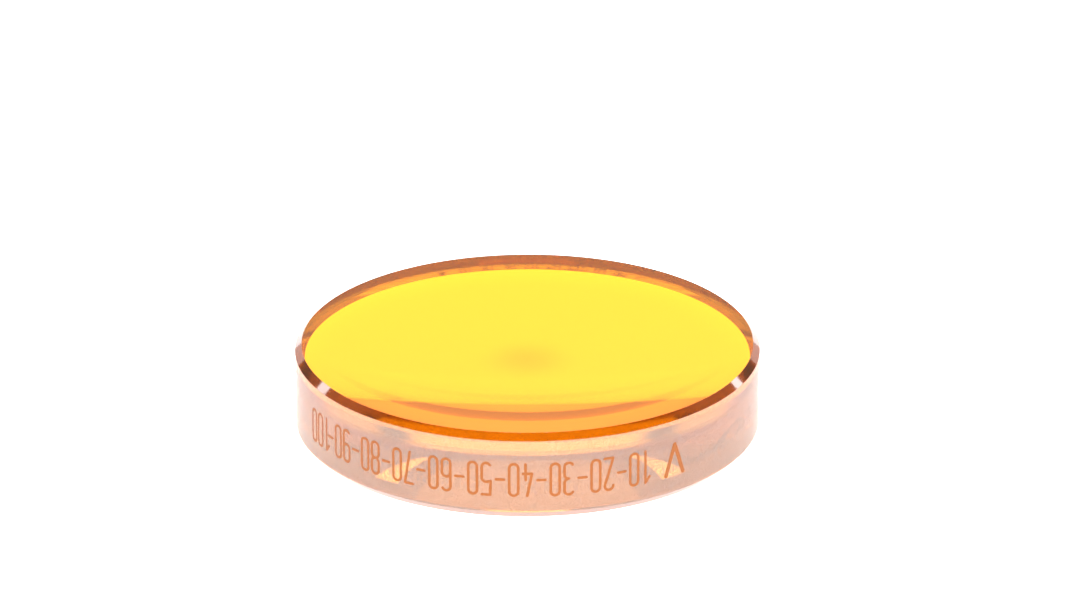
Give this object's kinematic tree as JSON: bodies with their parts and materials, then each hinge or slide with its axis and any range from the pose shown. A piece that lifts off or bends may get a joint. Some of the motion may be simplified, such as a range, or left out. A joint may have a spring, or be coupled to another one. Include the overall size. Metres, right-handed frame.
{
  "type": "laser focusing lens",
  "caption": "Round meniscus lens of clear amber zinc selenide, hollow on one face and convex on the other, with a straight edge and bevelled rims, that focuses an infrared laser beam.",
  "frame": {"origin": "middle of the convex face, where it touches the surface it lies on, on the optical axis", "axes": "+Z along the optical axis, out of the hollow face and towards the focus; the lens is a solid of revolution, so X and Y are free"},
  "size_m": [0.0381, 0.038, 0.0084],
  "materials": {
    "zinc_selenide": "polished faces and edge, fine-ground bevels"
  },
  "bodies": {
    "root": {"lens": "zinc_selenide"}
  },
  "joints": []
}
